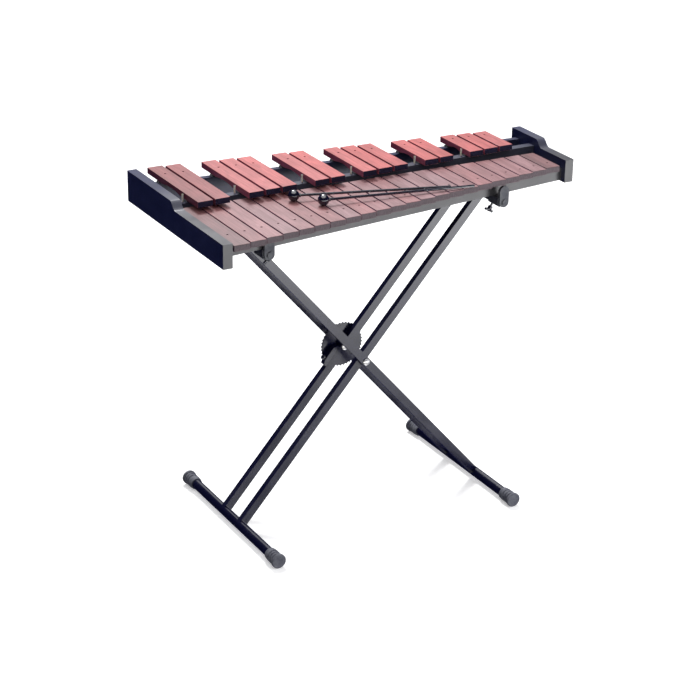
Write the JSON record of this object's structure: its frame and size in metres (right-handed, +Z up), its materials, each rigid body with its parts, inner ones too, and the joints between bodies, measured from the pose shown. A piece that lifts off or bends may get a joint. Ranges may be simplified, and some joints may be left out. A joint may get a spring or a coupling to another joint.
{
  "type": "xylophone",
  "caption": "Graduated wooden-bar xylophone with raised accidentals on a folding cross-leg stand with a toothed height lock, mallets resting on the bars.",
  "frame": {"origin": "centre of the bounding box at floor level, under the middle of the instrument", "axes": "+X along the instrument from the low notes to the high notes, +Y from the player's side to the back, +Z up"},
  "size_m": [0.912, 0.4541, 0.7644],
  "materials": {
    "rosewood": "satin-oiled reddish hardwood with straight grain along each bar",
    "stained_wood": "black-stained wood with a satin lacquer, worn slightly grey on edges",
    "gloss_steel": "gloss black painted steel tube and plate",
    "rubber": "matte dark grey ribbed rubber",
    "bright_steel": "bright zinc-plated steel fasteners",
    "moulded_plastic": "matte black moulded nylon",
    "black_plastic": "gloss black plastic"
  },
  "bodies": {
    "left_feet": {"left_front_foot_cap": "rubber", "left_rear_foot_cap": "rubber"},
    "inner_legs": {"inner_leg_frame": "gloss_steel"},
    "outer_legs": {"outer_leg_frame": "gloss_steel", "lock_disc": "gloss_steel", "near_pivot_bolt": "bright_steel", "far_pivot_bolt": "bright_steel"},
    "right_feet": {"right_front_foot_cap": "rubber", "right_rear_foot_cap": "rubber"},
    "left_stop": {"left_front_stop": "moulded_plastic"},
    "right_stop": {"right_front_stop": "moulded_plastic"},
    "xylophone": {"left_end_board": "stained_wood", "right_end_board": "stained_wood", "natural_front_rail": "stained_wood", "natural_back_rail": "stained_wood", "sharp_front_rail": "stained_wood", "sharp_back_rail": "stained_wood", "bar_C5": "rosewood", "bar_D5": "rosewood", "bar_E5": "rosewood", "bar_F5": "rosewood", "bar_G5": "rosewood", "bar_A5": "rosewood", "bar_B5": "rosewood", "bar_C6": "rosewood", "bar_D6": "rosewood", "bar_E6": "rosewood", "bar_F6": "rosewood", "bar_G6": "rosewood", "bar_A6": "rosewood", "bar_B6": "rosewood", "bar_C7": "rosewood", "bar_D7": "rosewood", "bar_E7": "rosewood", "bar_F7": "rosewood", "bar_G7": "rosewood", "bar_A7": "rosewood", "bar_B7": "rosewood", "bar_C8": "rosewood", "bar_Cs5": "rosewood", "bar_Ds5": "rosewood", "bar_Fs5": "rosewood", "bar_Gs5": "rosewood", "bar_As5": "rosewood", "bar_Cs6": "rosewood", "bar_Ds6": "rosewood", "bar_Fs6": "rosewood", "bar_Gs6": "rosewood", "bar_As6": "rosewood", "bar_Cs7": "rosewood", "bar_Ds7": "rosewood", "bar_Fs7": "rosewood", "bar_Gs7": "rosewood", "bar_As7": "rosewood"},
    "lock_lever": {"lock_trigger": "black_plastic"},
    "left_clamp_screw": {"left_thumbscrew": "black_plastic"},
    "right_clamp_screw": {"right_thumbscrew": "black_plastic"},
    "first_mallet": {"mallet_1": "black_plastic"},
    "second_mallet": {"mallet_2": "black_plastic"}
  },
  "joints": [
    {"name": "left_foot_roll", "type": "hinge", "parent": "left_feet", "child": "inner_legs", "pos_m": [-0.3306, 0, 0.0158], "axis": [0, 1, 0], "range_deg": [-38, 0]},
    {"name": "scissor_pivot", "type": "hinge", "parent": "inner_legs", "child": "outer_legs", "pos_m": [-0.0364, 0, 0.351], "axis": [0, 1, 0], "range_deg": [0, 76]},
    {"name": "right_foot_roll", "type": "hinge", "parent": "outer_legs", "child": "right_feet", "pos_m": [0.2578, 0, 0.0158], "axis": [0, 1, 0], "range_deg": [-38, 0]},
    {"name": "left_arm_swivel", "type": "hinge", "parent": "outer_legs", "child": "left_stop", "pos_m": [-0.3306, 0, 0.6862], "axis": [0, 1, 0], "range_deg": [-38, 0]},
    {"name": "right_arm_swivel", "type": "hinge", "parent": "inner_legs", "child": "right_stop", "pos_m": [0.2578, 0, 0.6862], "axis": [0, 1, 0], "range_deg": [0, 38]},
    {"name": "xylophone_lift", "type": "slide", "parent": "right_stop", "child": "xylophone", "axis": [0, 0, 1], "range_m": [0, 0.12]},
    {"name": "first_mallet_lift", "type": "slide", "parent": "xylophone", "child": "first_mallet", "axis": [0, 0, 1], "range_m": [0, 0.15]},
    {"name": "second_mallet_lift", "type": "slide", "parent": "xylophone", "child": "second_mallet", "axis": [0, 0, 1], "range_m": [0, 0.15]},
    {"name": "lock_lever_release", "type": "hinge", "parent": "inner_legs", "child": "lock_lever", "pos_m": [-0.053, 0.038, 0.35293], "axis": [0, 1, 0], "range_deg": [0, 8], "stiffness_Nm_per_rad": 0.6},
    {"name": "left_clamp_screw_turn", "type": "hinge", "parent": "left_stop", "child": "left_clamp_screw", "pos_m": [-0.3306, -0.1425, 0.6862], "axis": [-0.5, 0, 0.866], "continuous": true},
    {"name": "right_clamp_screw_turn", "type": "hinge", "parent": "right_stop", "child": "right_clamp_screw", "pos_m": [0.2578, -0.0915, 0.6862], "axis": [0.5, 0, 0.866], "continuous": true}
  ],
  "couplings": [
    {"joint": "left_foot_roll", "follows": "scissor_pivot", "ratio": -0.5},
    {"joint": "right_foot_roll", "follows": "scissor_pivot", "ratio": -0.5},
    {"joint": "left_arm_swivel", "follows": "scissor_pivot", "ratio": -0.5},
    {"joint": "right_arm_swivel", "follows": "scissor_pivot", "ratio": 0.5}
  ]
}
